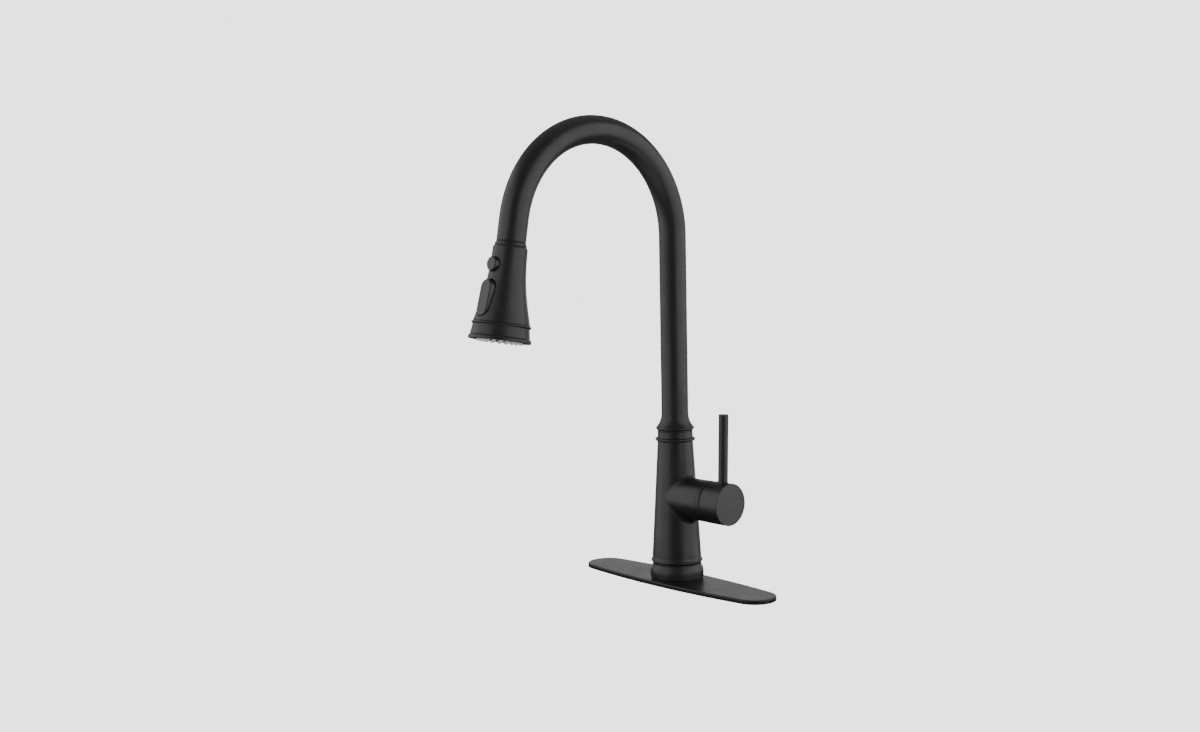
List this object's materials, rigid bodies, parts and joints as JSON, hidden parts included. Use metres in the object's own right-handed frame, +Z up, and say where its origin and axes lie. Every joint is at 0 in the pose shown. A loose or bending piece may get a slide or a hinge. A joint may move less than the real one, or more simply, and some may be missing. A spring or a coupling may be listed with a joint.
{
  "type": "pull-down kitchen faucet",
  "caption": "Single-handle pull-down kitchen faucet in matte black with a high arc spout, a flared spray head with a pause button and a rocker, a side lever and an oval deck plate.",
  "frame": {"origin": "On the deck surface, at the centre of the deck plate's hole, on the axis of the column.", "axes": "+Z is up. X runs along the deck plate, with the handle on +X. The spout reaches over the sink towards -Y."},
  "size_m": [0.26, 0.286, 0.4804],
  "materials": {
    "black_metal": "matte black powder coat",
    "head_plastic": "matte black coat on plastic",
    "button_plastic": "satin dark grey moulded plastic",
    "dark_plastic": "plain black moulded plastic",
    "white_plastic": "off-white acetal",
    "blue_plastic": "blue moulded plastic",
    "grey_plastic": "grey moulded plastic",
    "grey_silicone": "soft light grey silicone",
    "black_rubber": "soft black rubber",
    "braided_nylon": "grey nylon braid over a tube",
    "ceramic": "lapped white ceramic",
    "steel": "plain stainless steel",
    "brass": "turned brass"
  },
  "bodies": {
    "base": {"deck_plate": "black_metal", "deck_plate_underlay": "black_rubber", "base_gasket": "black_rubber", "base_ring": "black_metal", "faucet_body": "black_metal", "cartridge_housing": "white_plastic", "cartridge_seals": "black_rubber", "ceramic_disc_fixed": "ceramic", "cartridge_nut": "brass", "bonnet": "black_metal", "swivel_bushes": "white_plastic", "hose_tail_fitting": "brass"},
    "spout": {"spout_collar": "black_metal", "spout_tube": "black_metal", "swivel_o_rings": "black_rubber", "spout_clip": "steel", "outlet_guide": "dark_plastic", "pull_out_hose": "braided_nylon"},
    "spray_head": {"hose_end_nut": "brass", "head_neck": "black_metal", "head_shell": "head_plastic", "head_ring": "head_plastic", "head_core": "white_plastic", "hose_washer": "black_rubber", "core_seal": "black_rubber", "spray_plate": "dark_plastic", "spray_nozzles": "grey_silicone", "aerator": "grey_plastic", "rocker_pin": "steel", "button_spring": "steel"},
    "button": {"pause_button": "button_plastic", "pause_plunger": "white_plastic"},
    "rocker": {"rocker": "button_plastic"},
    "carrier": {"cartridge_carrier": "blue_plastic", "cartridge_pin": "steel"},
    "handle": {"handle_hub": "black_metal", "handle_lever": "black_metal", "handle_set_screw": "steel", "cartridge_stem": "brass"},
    "moving_disc": {"ceramic_disc_moving": "ceramic"}
  },
  "joints": [
    {"name": "spout_swivel", "type": "hinge", "parent": "base", "child": "spout", "pos_m": [0, 0, 0.16], "axis": [0, 0, 1], "continuous": true},
    {"name": "head_pull", "type": "slide", "parent": "spout", "child": "spray_head", "axis": [0, -0.1788, -0.9839], "range_m": [0, 0.45], "stiffness_N_per_m": 2, "springref_m": -2.5, "deforming": ["pull_out_hose"]},
    {"name": "pause_press", "type": "slide", "parent": "spray_head", "child": "button", "axis": [0, 0.9839, -0.1788], "range_m": [0, 0.002], "stiffness_N_per_m": 600, "springref_m": -0.002, "deforming": ["button_spring"]},
    {"name": "rocker_toggle", "type": "hinge", "parent": "spray_head", "child": "rocker", "pos_m": [0, -0.23842, 0.30687], "axis": [1, 0, 0], "range_deg": [-12, 0]},
    {"name": "temperature_turn", "type": "hinge", "parent": "base", "child": "carrier", "pos_m": [0, 0, 0.0914], "axis": [1, 0, 0], "range_deg": [-45, 45]},
    {"name": "flow_tilt", "type": "hinge", "parent": "carrier", "child": "handle", "pos_m": [0.0311, 0, 0.0914], "axis": [0, 1, 0], "range_deg": [0, 18]},
    {"name": "disc_slide", "type": "slide", "parent": "carrier", "child": "moving_disc", "axis": [0, 0, 1], "range_m": [0, 0.0026]}
  ],
  "couplings": [
    {"joint": "disc_slide", "follows": "flow_tilt", "m_per_rad": 0.00805}
  ]
}
